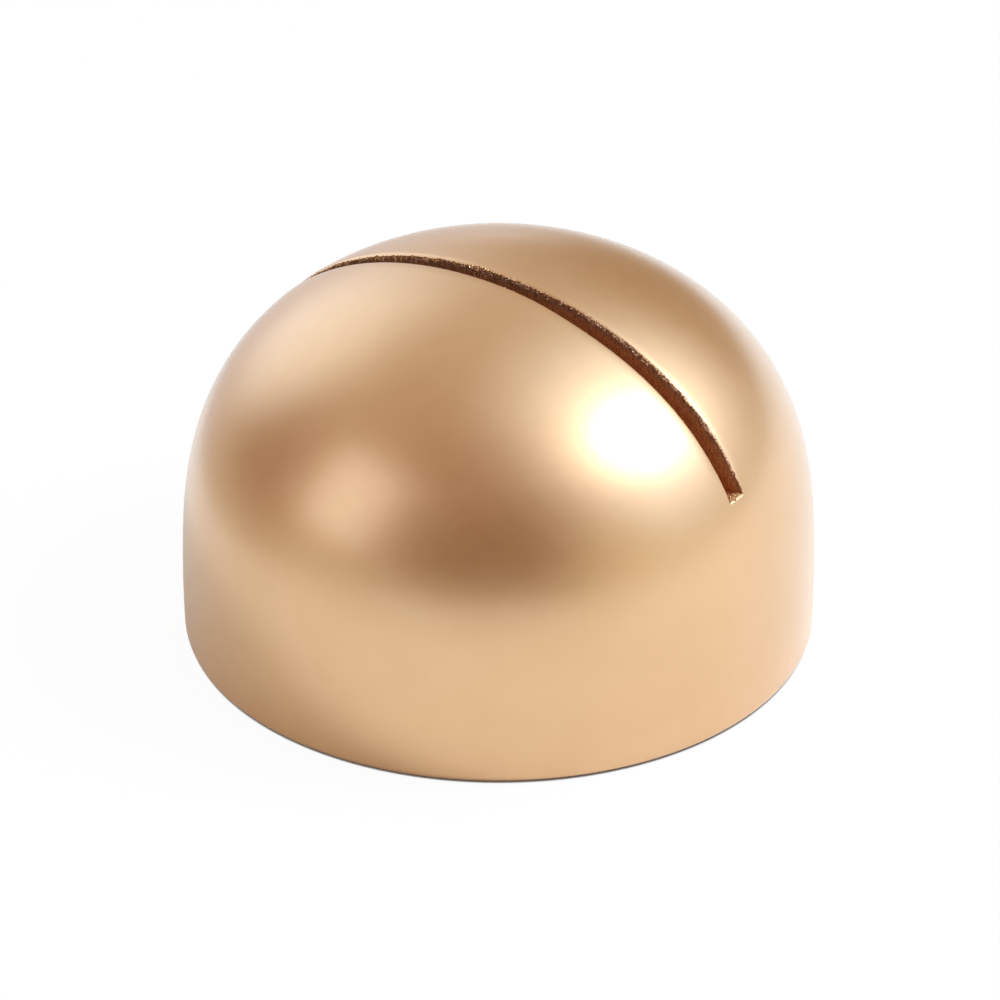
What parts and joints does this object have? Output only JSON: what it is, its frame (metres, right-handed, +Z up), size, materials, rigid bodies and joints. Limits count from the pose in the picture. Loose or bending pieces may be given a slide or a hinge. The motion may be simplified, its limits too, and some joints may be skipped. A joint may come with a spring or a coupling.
{
  "type": "table number stand",
  "caption": "Dome-shaped table number stand of gold-lacquered turned wood, with a straight sawn slot across the crown that holds a card upright.",
  "frame": {"origin": "on the table, under the crown, at the centre of the felt pad's underside", "axes": "+Z up, +X along the card slot, +Y across the slot"},
  "size_m": [0.04, 0.04, 0.025],
  "materials": {
    "gold_lacquer": "satin",
    "sawn_wood": "matte",
    "felt": "matte",
    "adhesive": "satin"
  },
  "bodies": {
    "root": {"body_base": "sawn_wood", "body_front_cheek": "sawn_wood", "body_rear_cheek": "sawn_wood", "gold_lacquer": "gold_lacquer", "felt_pad": "felt", "pad_adhesive": "adhesive"}
  },
  "joints": []
}
